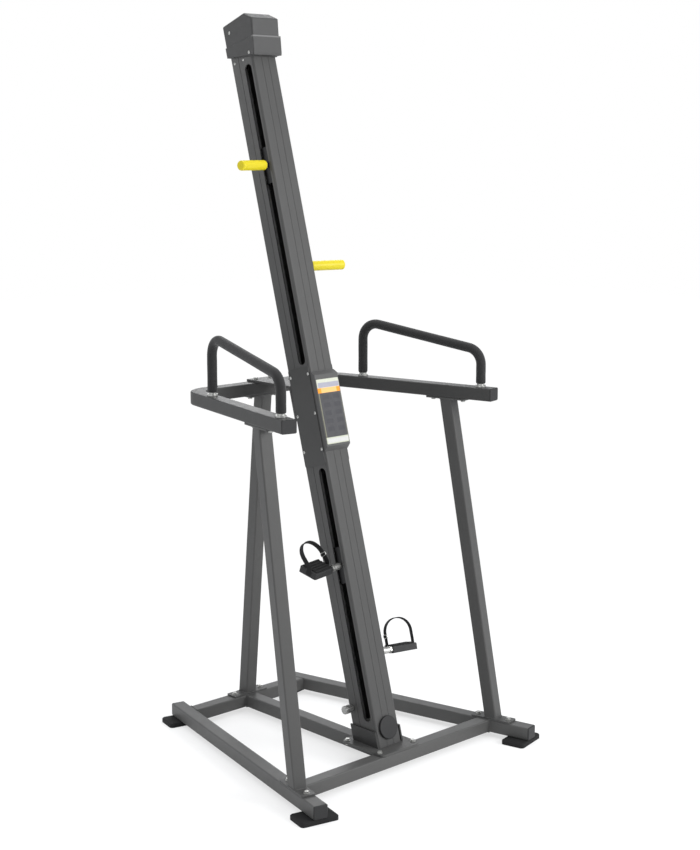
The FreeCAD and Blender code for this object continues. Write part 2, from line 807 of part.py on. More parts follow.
def wheel_cap():
    """Round cap over the head of the lower wheel's axle."""
    front = Vector(0, -wheel_cap_rise, low_wheel_along)
    rear = Vector(0, 1, 0)
    cap = rod(front, rear, wheel_cap_radius, wheel_cap_rise)
    rim = [edge for edge in cap.Edges if edge.BoundBox.YMax < -wheel_cap_rise / 2]
    cap = cap.makeFillet(wheel_cap_wall, rim)
    hollow = rod(front + rear * wheel_cap_wall, rear, wheel_cap_radius - 2 * wheel_cap_wall,
                 wheel_cap_rise)
    return on_mast(cap.cut(hollow))


# ---- Slides --------------------------------------------------------------------------
def pedal_along(sign):
    return pedal_middle - sign * pedal_offset


def handle_along(sign):
    hole = left_handle_hole if sign < 0 else 0
    return pedal_along(sign) + handle_spacing + hole * handle_hole_pitch


def slide_rod(sign):
    """Flat bar joining the two carriages, with the handle's adjusting holes."""
    x = mirrored_pair(rod_inner, rod_inner + rod_thick, sign)
    low = pedal_along(sign) - rod_tail
    first = pedal_along(sign) + handle_spacing
    high = first + (handle_holes - 1) * handle_hole_pitch + rod_head
    bar = box(x, (slot_depth - rod_width / 2, slot_depth + rod_width / 2), (low, high))
    holes = [rod(Vector(x[0], slot_depth, first + step * handle_hole_pitch), Vector(1, 0, 0),
                 bolt_radius, rod_thick) for step in range(handle_holes)]
    return on_mast(bar.cut(Part.makeCompound(holes)))


def carriage_block(sign, along):
    """Carriage plate in mast axes."""
    inner = rod_inner + rod_thick
    x = mirrored_pair(inner, inner + carriage_thick, sign)
    low_depth = slot_depth - carriage_depth / 2
    block = box(x, (low_depth, low_depth + carriage_depth),
                (along - carriage_length / 2, along + carriage_length / 2))
    corners = [edge for edge in block.Edges if edge.BoundBox.XLength > carriage_thick / 2]
    return block.makeFillet(carriage_round, corners)


def glide_pads(sign):
    """Plastic glides: each carriage has four in front and behind, near its ends."""
    outer = rod_inner + rod_thick + carriage_thick
    x = mirrored_pair(outer - glide_width, outer, sign)
    low_depth = slot_depth - carriage_depth / 2
    depths = ((mast_wall + running_play, low_depth),
              (low_depth + carriage_depth, guide_front - running_play))
    start = carriage_length / 2 - glide_inset
    pads = []
    for middle in (pedal_along(sign), handle_along(sign)):
        for depth in depths:
            for low in (middle - start, middle + start - glide_length):
                pads.append(box(x, depth, (low, low + glide_length)))
    return on_mast(Part.makeCompound(pads))


def belt_clamp(sign, along):
    """Fork on the lower carriage that takes the belt's strand."""
    inner = wheel_radius - clamp_wall
    outer = wheel_radius + 2 * running_play + belt_thick + clamp_wall
    start = slot_depth + carriage_depth / 2
    rear_edge = belt_depth + belt_width / 2
    length = (along - clamp_length / 2, along + clamp_length / 2)
    fork = box(mirrored_pair(inner, outer, sign), (start - clamp_wall, rear_edge), length)
    strand = box(mirrored_pair(wheel_radius, outer - clamp_wall, sign),
                 (belt_depth - belt_width / 2 - running_play, rear_edge + clamp_reach), length)
    return fork.cut(strand)


def stop_ear(along):
    """Lug on the left carriage that comes down on the pull pin."""
    inner = wheel_radius - clamp_wall
    low = along - pedal_lowest + pin_along + pin_radius + bumper_play
    rear_edge = belt_depth + belt_width / 2
    x = mirrored_pair(inner, wheel_radius, -1)
    return box(x, (rear_edge - clamp_reach, rear_edge + clamp_reach),
               (low, along + clamp_length / 2))


def lower_carriage(sign):
    along = pedal_along(sign)
    pieces = [carriage_block(sign, along), belt_clamp(sign, along)]
    if sign < 0:
        pieces.append(stop_ear(along))
    return on_mast(fused(pieces)).cut(side_bar(sign, along, axle_radius, axle_radius))


def upper_carriage(sign):
    along = handle_along(sign)
    block = on_mast(carriage_block(sign, along))
    return block.cut(side_bar(sign, along, handle_bar_radius, handle_bar_radius))


def outward_direction(sign):
    """Level direction of handles and pedal axles: outwards and a little to the user."""
    turn = math.radians(toe_out)
    return Vector(sign * math.cos(turn), -math.sin(turn), 0)


def side_root(sign, along):
    """Where a handle or pedal axle crosses the mast's side face."""
    return mast_point(sign * mast_half, slot_depth, along)


def side_bar(sign, along, radius, reach):
    """Round bar from inside the carriage out through the slot, reach past the side."""
    out = outward_direction(sign)
    blind = rod_inner + rod_thick + carriage_round
    inside = (mast_half - blind) / math.cos(math.radians(toe_out))
    return rod(side_root(sign, along) - out * inside, out, radius, inside + reach)


def rounded_rim(shape, height, radius):
    """Fillet on the outer circle of an upright cylinder at a height."""
    rims = [edge for edge in shape.Edges
            if abs(edge.BoundBox.ZMin - height) + abs(edge.BoundBox.ZMax - height) < radius / 2]
    return shape.makeFillet(radius, rims)


def handle_bar(sign):
    """Steel bar in the upper carriage that carries the grip."""
    out = outward_direction(sign)
    along = handle_along(sign)
    collar = rod(side_root(sign, along) + out * (handle_grip_start - handle_collar), out,
                 handle_collar_radius, handle_collar)
    bar = side_bar(sign, along, handle_bar_radius, handle_tip - 2 * grip_end_round)
    return fused([bar, collar])


def handle_grip(sign):
    """Round-ended sleeve on the handle bar."""
    out = outward_direction(sign)
    length = handle_tip - handle_grip_start
    grip = rounded_rim(rod(Vector(), UP, handle_grip_radius, length), length, grip_end_round)
    grip = rounded_rim(grip, 0, grip_end_round / 3)
    bore = rod(Vector(), UP, handle_bar_radius, length - 2 * grip_end_round)
    foot = side_root(sign, handle_along(sign)) + out * handle_grip_start
    return stand(grip.cut(bore), foot, out)


# ---- Pedals --------------------------------------------------------------------------
def on_pedal(shape, sign):
    """Place a shape drawn in pedal axes: X across, Y to the toe, Z up, on the axle."""
    tilt = left_pedal_tilt if sign < 0 else right_pedal_tilt
    turn = Rotation(UP, -sign * toe_out).multiply(Rotation(Vector(1, 0, 0), tilt))
    placed = shape.copy()
    placed.Placement = Placement(side_root(sign, pedal_along(sign)), turn)
    placed.Placement = placed.Placement.multiply(shape.Placement)
    return placed


def pedal_axle(sign):
    """Stub axle in the lower carriage, its collar, and the spindle for the pedal."""
    along = pedal_along(sign)
    out = outward_direction(sign)
    root = side_root(sign, along)
    shoulder = pedal_inner - 2 * running_play - nut_thick
    collar = rod(root + out * axle_collar_start, out, axle_collar_radius,
                 shoulder - 2 * axle_collar_start)
    spindle = rod(root + out * shoulder, out, spindle_radius,
                  pedal_inner + spindle_reach - bumper_play - shoulder)
    return fused([side_bar(sign, along, axle_radius, shoulder), collar, spindle])


def axle_nut(sign):
    """Nut on the spindle, against the axle's shoulder."""
    nut = hexagon(nut_flats, 0, nut_thick).cut(rod(Vector(), UP, spindle_radius, nut_thick))
    out = outward_direction(sign)
    reach = pedal_inner - 2 * running_play - nut_thick
    return stand(nut, side_root(sign, pedal_along(sign)) + out * reach, out)


def pedal_top():
    return pedal_thick / 2 - pedal_drop


def lean_strap(shape, sign):
    """Lean a strap's shape about the platform's top, where it leaves its tabs."""
    lean = left_strap_lean if sign < 0 else right_strap_lean
    pivot = Vector(0, strap_forward, pedal_top())
    leant = shape.copy()
    leant.Placement = Placement(Vector(), Rotation(Vector(1, 0, 0), -lean), pivot)
    return leant


def pedal(sign):
    """Foot platform with a blind bearing bore in its inner side."""
    platform = prism(rounded_rectangle(pedal_width, pedal_length, pedal_corner), pedal_thick)
    rim = [edge for edge in platform.Edges if edge.BoundBox.ZMin > pedal_thick / 2]
    platform = platform.makeFillet(pedal_edge, rim)
    platform.translate(Vector(sign * (pedal_inner + pedal_width / 2), pedal_forward,
                              pedal_top() - pedal_thick))
    bore = rod(Vector(sign * pedal_inner, 0, 0), Vector(sign, 0, 0),
               spindle_radius + shaft_play, spindle_reach)
    return on_pedal(platform.cut(bore), sign)


def pedal_tread(sign):
    """Ribbed mat on the platform."""
    top = pedal_top()
    length = pedal_length - 2 * tread_inset
    start = pedal_forward - length / 2
    x = mirrored_pair(pedal_inner + tread_inset, pedal_inner + pedal_width - tread_inset, sign)
    pieces = [box(x, (start, start + length), (top, top + tread_thick))]
    pitch = (length - tread_rib_width) / (tread_ribs - 1)
    for index in range(tread_ribs):
        low = start + index * pitch
        pieces.append(box(x, (low, low + tread_rib_width),
                          (top + tread_thick, top + tread_thick + tread_rib_rise)))
    return on_pedal(fused(pieces), sign)


def toe_strap(sign):
    """Strap that arches over the platform, with a tab on each of its sides."""
    half, top = strap_thick / 2, pedal_top()
    inner = sign * (pedal_inner - half)
    outer = sign * (pedal_inner + pedal_width + half)
    high = top + strap_rise - half
    path = [Vector(inner, strap_forward, top), Vector(inner, strap_forward, high),
            Vector(outer, strap_forward, high), Vector(outer, strap_forward, top)]
    section = rounded_rectangle(strap_thick, strap_width, strap_thick / 3)
    pieces = [lean_strap(bent_bar(path, strap_bend, section, Vector(0, 1, 0)), sign)]
    for x in (inner, outer):
        pieces.append(box((x - half, x + half),
                          (strap_forward - strap_width / 2, strap_forward + strap_width / 2),
                          (top - strap_tab, top)))
        pieces.append(rod(Vector(x - half, strap_forward, top), Vector(1, 0, 0),
                          strap_width / 2, strap_thick))
    return on_pedal(fused(pieces), sign)


# ---- Covers, console and top housing -------------------------------------------------
def side_profile(points, half):
    """Prism between two half widths over an outline of (depth, along) points."""
    outline = [Vector(-half, depth, along) for depth, along in points]
    return polygon_prism(outline, Vector(2 * half, 0, 0))


def screw_sites():
    """Seat and direction of every panel screw."""
    sites = []
    for _, sign in SIDES:
        out = Vector(sign, 0, 0)
        places = [(mast_half + cover_thick, depth, along) for along in cover_screw_along
                  for depth in (cover_edge + cover_screw_inset,
                                mast_depth - cover_edge - cover_screw_inset)]
        places.append((housing_half, housing_screw_depth, mast_top - housing_screw_drop))
        places.append((housing_half + housing_ledge, chin_screw_depth,
                       mast_top - chin_screw_drop))
        places += [(mast_half, depth, mast_top - mast_screw_drop)
                   for depth in mast_screw_depths]
        sites += [(mast_point(sign * half, depth, along), out) for half, depth, along in places]
    return sites


def panel_screws():
    return Part.makeCompound([panel_screw(*site) for site in screw_sites()])


def side_cover(sign):
    """Flat cover with round corners over the mast's side between the slots."""
    depth = mast_depth - 2 * cover_edge
    plate = prism(rounded_rectangle(depth, cover_high - cover_low, mast_corner), cover_thick)
    seat = mast_point(sign * mast_half, mast_depth / 2, (cover_low + cover_high) / 2)
    plate = stand(plate, seat, Vector(sign, 0, 0), MAST.Rotation.multVec(UP))
    return drilled(plate, [screw_hole(*site) for site in screw_sites()])


def console_housing():
    """Shallow box on the mast's front face, bevelled at both ends and open behind."""
    def outline(inset):
        low, high = console_low + inset, console_high - inset
        front = inset - console_rise
        return [(0, low), (front, low + console_bevel), (front, high - console_bevel), (0, high)]
    shell = side_profile(outline(0), mast_half)
    return on_mast(shell.cut(side_profile(outline(console_wall), mast_half - console_wall)))


def console_panel():
    """Thin front plate of the console."""
    plate = prism(rounded_rectangle(2 * panel_half, panel_high - panel_low, panel_corner),
                  panel_thick)
    seat = mast_point(0, -console_rise, (panel_low + panel_high) / 2)
    front = MAST.Rotation.multVec(Vector(0, -1, 0))
    return stand(plate, seat, front, MAST.Rotation.multVec(UP))


def soft_outline(body, radius, crown):
    """Round a side profile's two outlines, and its cross edges above a height."""
    edges = [edge for edge in body.Edges
             if edge.BoundBox.XLength < radius / 2 or edge.BoundBox.ZMin > crown]
    return body.makeFillet(radius, edges)


def top_housing():
    """Hollow cap over the mast's top with a nose over the upper wheel's axle."""
    rear = mast_depth + housing_wall
    low_front, low_rear = mast_top - housing_front_drop, mast_top - housing_rear_drop
    high_front, high_rear = mast_top + housing_front_rise, mast_top + housing_rear_rise
    ledge, chin = mast_top - housing_ledge_drop, mast_top - housing_chin_drop
    upper = side_profile([(rear, low_rear), (rear, high_rear), (0, high_front),
                          (-housing_nose, mast_top), (-housing_waist, ledge),
                          (-housing_chin, chin), (0, low_front)], housing_half)
    lower = side_profile([(rear, low_rear), (rear, ledge),
                          (-housing_waist - housing_ledge, ledge),
                          (-housing_chin - housing_ledge, chin),
                          (-housing_chin, low_front)], housing_half + housing_ledge)
    inner = mast_depth + housing_play
    half = mast_half + housing_play
    wall = housing_wall
    cavity = side_profile([(inner, low_rear + wall), (inner, high_rear - wall),
                           (0, high_front - wall), (wall - housing_nose, mast_top - wall),
                           (wall - housing_waist, ledge),
                           (wall - housing_chin, chin + wall)], half)
    mast = box((-half, half), (-housing_play, inner), (low_front - wall, high_rear - 2 * wall))
    outer = fused([soft_outline(upper, housing_round, mast_top - housing_play),
                   soft_outline(lower, housing_ledge_round, mast_top)])
    shell = on_mast(outer.cut(Part.makeCompound([cavity])).cut(mast))
    return drilled(shell, [screw_hole(*site) for site in screw_sites()])


# ---- Pull pin ------------------------------------------------------------------------
def pin_barrel():
    """Guide barrel of the pull pin, screwed into the mast's side."""
    seat = Vector(-mast_half, pin_depth, pin_along)
    out = Vector(-1, 0, 0)
    body = rod(seat, out, pin_barrel_radius, pin_barrel_length)
    spigot = rod(seat - out * mast_wall, out, pin_barrel_radius - pin_spigot, mast_wall)
    bore = rod(seat - out * mast_wall, out, pin_radius + shaft_play, mast_wall + pin_barrel_length)
    return on_mast(fused([body, spigot]).cut(bore))


def stop_pin():
    """Pin with a fluted knob; the left carriage comes down on its tip."""
    tip = Vector(-pin_reach, pin_depth, pin_along)
    out = Vector(-1, 0, 0)
    length = mast_half + pin_barrel_length + bumper_play - pin_reach
    shank = rod(tip, out, pin_radius, length)
    knob = rounded_rim(rod(Vector(), UP, knob_radius, knob_length), knob_length,
                       knob_flute_radius)
    for index in range(knob_flutes):
        angle = 2 * math.pi * index / knob_flutes
        foot = Vector(knob_radius * math.cos(angle), knob_radius * math.sin(angle), 0)
        knob = knob.cut(rod(foot, UP, knob_flute_radius, knob_length))
    return on_mast(fused([shank, stand(knob, tip + out * length, out)]))


def bolt_group(sites):
    return Part.makeCompound([hex_bolt(*site) for site in sites])


def build():
    """Every node of the assembly by name."""
    legs = leg_ends()
    nodes = {
        "front_cross_tube": cross_tube(front_cross_y),
        "rear_cross_tube": cross_tube(rear_cross_y),
        "centre_rail": centre_rail(),
        "foot_pads": foot_pads(),
        "tube_end_caps": tube_end_caps(),
        "front_leg_left": leg(*legs["front_leg_left"]),
        "front_leg_right": leg(*legs["front_leg_right"]),
        "rear_leg": leg(*legs["rear_leg"]),
        "leg_bolts": bolt_group(leg_bolts()),
        "handrail_frame": handrail_frame(),
        "mast_tube": mast_tube(),
        "mast_shoe": mast_shoe(),
        "shoe_bolts": shoe_fasteners(),
        "mast_bracket": mast_bracket(),
        "bracket_bolts": bolt_group(bracket_bolts()),
        "guide_bars": guide_bars(),
        "stop_bumpers": stop_bumpers(),
        "drive_belt": drive_belt(),
        "low_belt_wheel": belt_wheel(low_wheel_along),
        "high_belt_wheel": belt_wheel(high_wheel_along),
        "low_wheel_axle": wheel_axle(low_wheel_along),
        "high_wheel_axle": wheel_axle(high_wheel_along),
        "wheel_cap": wheel_cap(),
        "console_housing": console_housing(),
        "console_panel": console_panel(),
        "top_housing": top_housing(),
        "panel_screws": panel_screws(),
        "pin_barrel": pin_barrel(),
        "stop_pin": stop_pin(),
    }
    makers = {"base_rail": base_rail, "handrail_loop": handrail_loop,
              "handrail_grip": handrail_grip, "side_cover": side_cover,
              "slide_rod": slide_rod, "lower_carriage": lower_carriage,
              "upper_carriage": upper_carriage, "glide_pads": glide_pads,
              "handle_bar": handle_bar, "handle_grip": handle_grip,
              "pedal_axle": pedal_axle, "axle_nut": axle_nut, "pedal": pedal,
              "pedal_tread": pedal_tread, "toe_strap": toe_strap}
    for side, sign in SIDES:
        for name, maker in makers.items():
            nodes[side + "_" + name] = maker(sign)
    return nodes


for node, shape in build().items():
    shape.exportStep("parts/" + node + ".step")
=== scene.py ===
"""Looks of the stair climber: materials, soft pieces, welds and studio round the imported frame.

Metres.  +X is the user's right, +Y away from the user, +Z up.
"""
import json
import math
import bpy
import numpy as np
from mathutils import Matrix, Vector


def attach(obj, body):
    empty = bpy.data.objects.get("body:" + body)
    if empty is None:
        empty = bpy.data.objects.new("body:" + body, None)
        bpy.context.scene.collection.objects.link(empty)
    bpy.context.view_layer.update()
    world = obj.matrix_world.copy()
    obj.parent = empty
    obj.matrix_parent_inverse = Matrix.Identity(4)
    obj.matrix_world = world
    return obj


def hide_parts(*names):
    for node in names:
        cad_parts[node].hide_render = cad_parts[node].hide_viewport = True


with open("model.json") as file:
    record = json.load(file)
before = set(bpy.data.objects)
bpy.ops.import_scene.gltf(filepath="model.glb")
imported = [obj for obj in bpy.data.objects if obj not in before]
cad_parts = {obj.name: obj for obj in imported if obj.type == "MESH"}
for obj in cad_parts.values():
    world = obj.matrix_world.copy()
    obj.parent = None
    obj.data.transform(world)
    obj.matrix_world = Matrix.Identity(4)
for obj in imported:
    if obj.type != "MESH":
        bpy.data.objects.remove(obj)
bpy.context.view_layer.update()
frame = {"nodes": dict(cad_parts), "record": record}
NODES = frame["nodes"]

# ---- Sizes shared with the frame -----------------------------------------------------
SIDES = (("left", -1), ("right", 1))
rail_top = 0.059
rail_height = 0.044
rail_width = 0.048
rail_front_half = 0.480       # centreline of a side rail from the middle, at its front end
rail_rear_half = 0.247
rail_half_run = 0.503
rail_splay = math.atan((rail_front_half - rail_rear_half) / (2 * rail_half_run))
front_cross_y = -0.341
rear_cross_y = 0.420
leg_size = 0.045
leg_corner = 0.005
leg_foot_y = -0.362
leg_head_y = -0.167
plate_thick = 0.006
arm_low = 1.158
arm_top = 1.201
crossbar_y = 0.317
arm_rear_half = 0.301         # centreline of an arm from the middle, at the crossbar
arm_front_half = 0.450
arm_run = 0.653
loop_posts = {"rear": (0.171, 0.194), "front": (-0.289, 0.122)}   # y and rise of each post
loop_bend = 0.055
collar_radius = 0.017
mast_lean = math.radians(15.33)
mast_foot_y = -0.332
mast_half = 0.051
slot_depth = 0.032
cover_thick = 0.002
housing_half = 0.0575         # top housing above its ledge
housing_lower_half = 0.0605
housing_ledge = 2.430         # the ledge, up the mast
screw_head = 0.0028
cover_screw_along = (1.060, 1.180, 1.310)
cover_screw_depths = (0.012, 0.101)
crown_screw = (0.087, 2.473)  # depth and distance up the mast
chin_screw = (0.004, 2.382)
mast_screw_depths = (0.050, 0.095)
mast_screw_along = 2.372
toe_out = math.radians(13)
pedals = {"left": (-1, 0.675, 18, 55),   # side, distance up the mast, tilt, strap's lean
          "right": (1, 0.368, -16, 4)}
pedal_inner = 0.048
pedal_width = 0.098
pedal_top = 0.009

# ---- Soft pieces, beads and recesses -------------------------------------------------
foam_inner = 0.0126
foam_outer = 0.0161
foam_lift = 0.012             # bare post between the arm and the foam
strap_width = 0.0168
strap_thick = 0.0028
strap_tab = 0.0168            # length of the tabs on the platform's sides
strap_rise = 0.0918           # from the platform's top to the crown, along the lean
strap_bend = 0.048
strap_forward = 0.020
buckle_height = 0.034         # middle of the wire slider above the platform's top
buckle_half = (0.0105, 0.0055)
buckle_wire = 0.0013
leg_bead = 0.0022
collar_bead = 0.0016
joint_bead = 0.0018
recess_half = 0.0005
recess_reach = 0.0026
recess_sink = 0.0004
recess_proud = 0.00006
screw_dome = 0.00586          # radius of the screw head's dome

# ---- Console print: x from the middle and distance up the mast -----------------------
print_sides = (-0.0440, 0.0465)
header_low = 1.2405
lilac_strip = (1.2570, 1.2735)
orange_band = (1.2395, 1.2560)
end_block = 0.0335            # the band's ends are stronger beyond this
foot_border = 1.0925
foot_strip = (1.0745, 1.0885)
window_field = (1.102, 1.236)
window_rows = (1.104, 0.0265)        # first row and pitch
window_columns = (-0.044, 0.0455)

# ---- Colours, linear -----------------------------------------------------------------
FRAME_GREY = (0.0605, 0.0600, 0.0585)
MAST_GREY = (0.0545, 0.0541, 0.0530)
BLACK_PLASTIC = (0.013, 0.013, 0.0135)
HOUSING_GREY = (0.043, 0.0428, 0.0425)
RUBBER_BLACK = (0.0085, 0.0085, 0.0087)
FOAM_BLACK = (0.0066, 0.0066, 0.0068)
GRIP_YELLOW = (0.63, 0.525, 0.010)
GLIDE_WHITE = (0.60, 0.59, 0.55)
ZINC_GREY = (0.50, 0.50, 0.48)
STEEL_GREY = (0.36, 0.36, 0.36)
ALLOY_GREY = (0.44, 0.44, 0.43)
DARK_ALLOY = (0.030, 0.030, 0.031)


# ---- Shader graphs -------------------------------------------------------------------
class Value:
    """A shader socket that does arithmetic."""

    def __init__(self, graph, socket):
        self.graph = graph
        self.socket = socket

    def math(self, operation, *others):
        return self.graph.node("ShaderNodeMath", "Value", [self, *others], operation=operation)

    def __add__(self, other): return self.math("ADD", other)
    def __sub__(self, other): return self.math("SUBTRACT", other)
    def __mul__(self, other): return self.math("MULTIPLY", other)
    def __truediv__(self, other): return self.math("DIVIDE", other)
    def __radd__(self, other): return self.graph.number(other).math("ADD", self)
    def __rsub__(self, other): return self.graph.number(other).math("SUBTRACT", self)
    def __rmul__(self, other): return self.graph.number(other).math("MULTIPLY", self)

    def above(self, limit, soft):
        """0 below the limit and 1 above it, with a soft edge."""
        return ((self - limit) / soft + 0.5).math("MINIMUM", 1).math("MAXIMUM", 0)

    def between(self, low, high, soft):
        return self.above(low, soft) * (1 - self.above(high, soft))


class Graph:
    """One material's node tree."""

    def __init__(self, name):
        self.material = bpy.data.materials.new(name)
        self.material.use_nodes = True
        self.tree = self.material.node_tree
        self.tree.nodes.clear()

    def node(self, kind, output, inputs=(), **settings):
        """Make a node, feed its inputs by order or name, and return one output."""
        made = self.tree.nodes.new(kind)
        for key, value in settings.items():
            setattr(made, key, value)
        pairs = inputs.items() if isinstance(inputs, dict) else enumerate(inputs)
        for key, value in pairs:
            self.feed(made.inputs[key], value)
        return Value(self, made.outputs[output])

    def feed(self, target, value):
        if isinstance(value, Value):
            self.tree.links.new(value.socket, target)
        else:
            target.default_value = value

    def number(self, value):
        made = self.node("ShaderNodeValue", "Value")
        made.socket.default_value = value
        return made

    def place(self):
        """Object coordinates, in metres."""
        return self.node("ShaderNodeTexCoord", "Object")

    def parts(self, vector):
        made = self.tree.nodes.new("ShaderNodeSeparateXYZ")
        self.feed(made.inputs[0], vector)
        return [Value(self, socket) for socket in made.outputs]

    def noise(self, scale, detail=3.0, stretch=None):
        """Noise from 0 to 1, stretched along the axes if asked."""
        where = self.place()
        if stretch:
            where = self.node("ShaderNodeMapping", "Vector", {"Vector": where, "Scale": stretch})
        return self.node("ShaderNodeTexNoise", "Fac",
                         {"Vector": where, "Scale": scale, "Detail": detail})

    def cells(self, scale):
        """Distance to the nearest cell's middle: grain or pits."""
        return self.node("ShaderNodeTexVoronoi", "Distance",
                         {"Vector": self.place(), "Scale": scale})

    def mixed(self, factor, first, second):
        """Colour blend; each colour is a triple or a socket."""
        made = self.tree.nodes.new("ShaderNodeMix")
        made.data_type = "RGBA"
        colours = [colour if isinstance(colour, Value) else (*colour, 1)
                   for colour in (first, second)]
        sockets = {socket.identifier: socket for socket in (*made.inputs, *made.outputs)}
        for name, value in zip(("Factor_Float", "A_Color", "B_Color"), (factor, *colours)):
            self.feed(sockets[name], value)
        return Value(self, sockets["Result_Color"])

    def shaded(self, colour, roughness, height, depth, **constants):
        """Principled surface with a bump, wired to the output."""
        bump = self.node("ShaderNodeBump", "Normal", {"Height": height, "Distance": depth})
        inputs = {"Base Color": colour, "Roughness": roughness, "Normal": bump}
        inputs.update({key.replace("_", " "): value for key, value in constants.items()})
        self.finish(self.node("ShaderNodeBsdfPrincipled", "BSDF", inputs))
        return self.material

    def finish(self, surface):
        out = self.tree.nodes.new("ShaderNodeOutputMaterial")
        self.feed(out.inputs["Surface"], surface)


def scaled(colour, factor):
    return tuple(channel * factor for channel in colour)


# ---- Materials -----------------------------------------------------------------------
def mast_axes(g):
    """X, depth behind the mast's front face and distance up the mast, as sockets."""
    x, y, z = g.parts(g.place())
    away = y - mast_foot_y
    return (x, away * math.cos(mast_lean) - z * math.sin(mast_lean),
            away * math.sin(mast_lean) + z * math.cos(mast_lean))


def frame_painted_light(g):
    """Painted light and shade on the frame's coat: the base rails are paler than the legs, and
    the handrail frame is darker.
    """
    _, _, z = g.parts(g.place())
    return (1.0 + 0.22 * (1.0 - z.above(rail_top + 0.0006, 0.0006))
            - 0.38 * z.above(arm_low - 0.001, 0.001))


def mast_painted_shade(g):
    """Painted shade on the mast's sides: the side covers are darker than the extrusion."""
    x, _, _ = mast_axes(g)
    return 1.0 - 0.22 * x.math("ABSOLUTE").above(mast_half + 0.0008, 0.0006)


def shoe_painted_shade(g):
    """Painted shade on the shoe: the cheeks are darker than the plate."""
    _, _, z = g.parts(g.place())
    return 1.0 - 0.56 * z.above(rail_top + 0.0085, 0.0006)


def powder_coat(name, colour, shade):
    """Satin powder coat: faint orange peel, slow tone changes and worn patches of uneven gloss.

    The shade function gives a factor on the colour by place: painted light and shade.
    """
    g = Graph(name)
    slow = g.noise(5, 4)
    tone = g.mixed(slow, scaled(colour, 0.92), scaled(colour, 1.10))
    # the tone is scaled here by painted light and shade
    tone = g.node("ShaderNodeVectorMath", "Vector", {0: tone, "Scale": shade(g)},
                  operation="SCALE")
    peel = g.noise(650, 2)
    rough = 0.40 + g.noise(38, 5) * 0.14
    return g.shaded(tone, rough, peel, 0.00012, Specular_IOR_Level=0.36)


def drawn_metal(name, colour, rough, stretch):
    """Bare metal with fine lines along its length."""
    g = Graph(name)
    lines = g.noise(260, 4, stretch)
    tone = g.mixed(lines, scaled(colour, 0.82), scaled(colour, 1.12))
    return g.shaded(tone, rough + lines * 0.15, lines, 0.00005, Metallic=0.9)


def moulded_plastic(name, colour, rough=0.48):
    """Spark-eroded grain with a slight sheen."""
    g = Graph(name)
    tone = g.mixed(g.noise(9, 3), scaled(colour, 0.88), scaled(colour, 1.15))
    return g.shaded(tone, rough + g.noise(60, 3) * 0.12, g.cells(900), 0.00009,
                    Specular_IOR_Level=0.4)


def cover_plastic(name, colour):
    """Grained plastic of the covers: a lighter console box and a cap, with painted shade
    darkening the sides of both.

    The cap's ledge has a painted highlight: a pale line along its front edge.
    """
    g = Graph(name)
    x, depth, up = mast_axes(g)
    away = x.math("ABSOLUTE")
    # painted shade: the cap's sides are darker than its front
    cap = g.mixed(away.above(housing_half - 0.0007, 0.0008),
                  scaled(colour, 0.90), scaled(colour, 0.46))
    # painted shade: the console box's sides are darker than its front
    box = g.mixed(away.above(mast_half + cover_thick / 2, 0.0008),
                  scaled(colour, 1.42), scaled(colour, 0.78))
    # painted highlight: a pale line along the front of the cap's ledge, where its rounded edge
    # catches the light
    ledge_highlight = up.between(housing_ledge - 0.0045, housing_ledge + 0.0012, 0.0008)
    cap = g.mixed(ledge_highlight * (1 - depth.above(-0.024, 0.001)), cap, scaled(colour, 3.4))
    tone = g.mixed(up.above(1.9, 0.1), box, cap)
    tone = g.mixed(g.noise(9, 3) * 0.3, tone, scaled(colour, 0.9))
    return g.shaded(tone, 0.46 + g.noise(60, 3) * 0.12, g.cells(900), 0.00009)


def rubber(name, colour):
    """Matt rubber with a bloom that greys it in patches."""
    g = Graph(name)
    bloom = g.noise(14, 5)
    tone = g.mixed(bloom * 0.5, colour, scaled(colour, 2.2))
    return g.shaded(tone, 0.68 + bloom * 0.15, g.noise(480, 3), 0.00015, Specular_IOR_Level=0.25)


def foam(name, colour):
    """Closed-cell foam: small pits and no shine."""
    g = Graph(name)
    cells = g.cells(420)
    tone = g.mixed(cells, scaled(colour, 0.7), scaled(colour, 1.9))
    return g.shaded(tone, 0.80 + g.noise(30, 3) * 0.12, cells, 0.0003, Sheen_Weight=0.15)


def vinyl_grip(name, colour):
    """Dipped vinyl, a little uneven and polished where hands rub."""
    g = Graph(name)
    worn = g.noise(22, 4)
    tone = g.mixed(worn, scaled(colour, 0.93), scaled(colour, 1.04))
    return g.shaded(tone, 0.36 + worn * 0.16, g.noise(170, 2), 0.0001, Specular_IOR_Level=0.35)


def belting(name, colour):
    """Toothless belt with a woven back."""
    g = Graph(name)
    weave = g.node("ShaderNodeTexChecker", "Fac", {"Vector": g.place(), "Scale": 1500.0})
    tone = g.mixed(weave, scaled(colour, 0.8), scaled(colour, 1.4))
    return g.shaded(tone, 0.62 + g.noise(40, 2) * 0.1, weave, 0.0001)


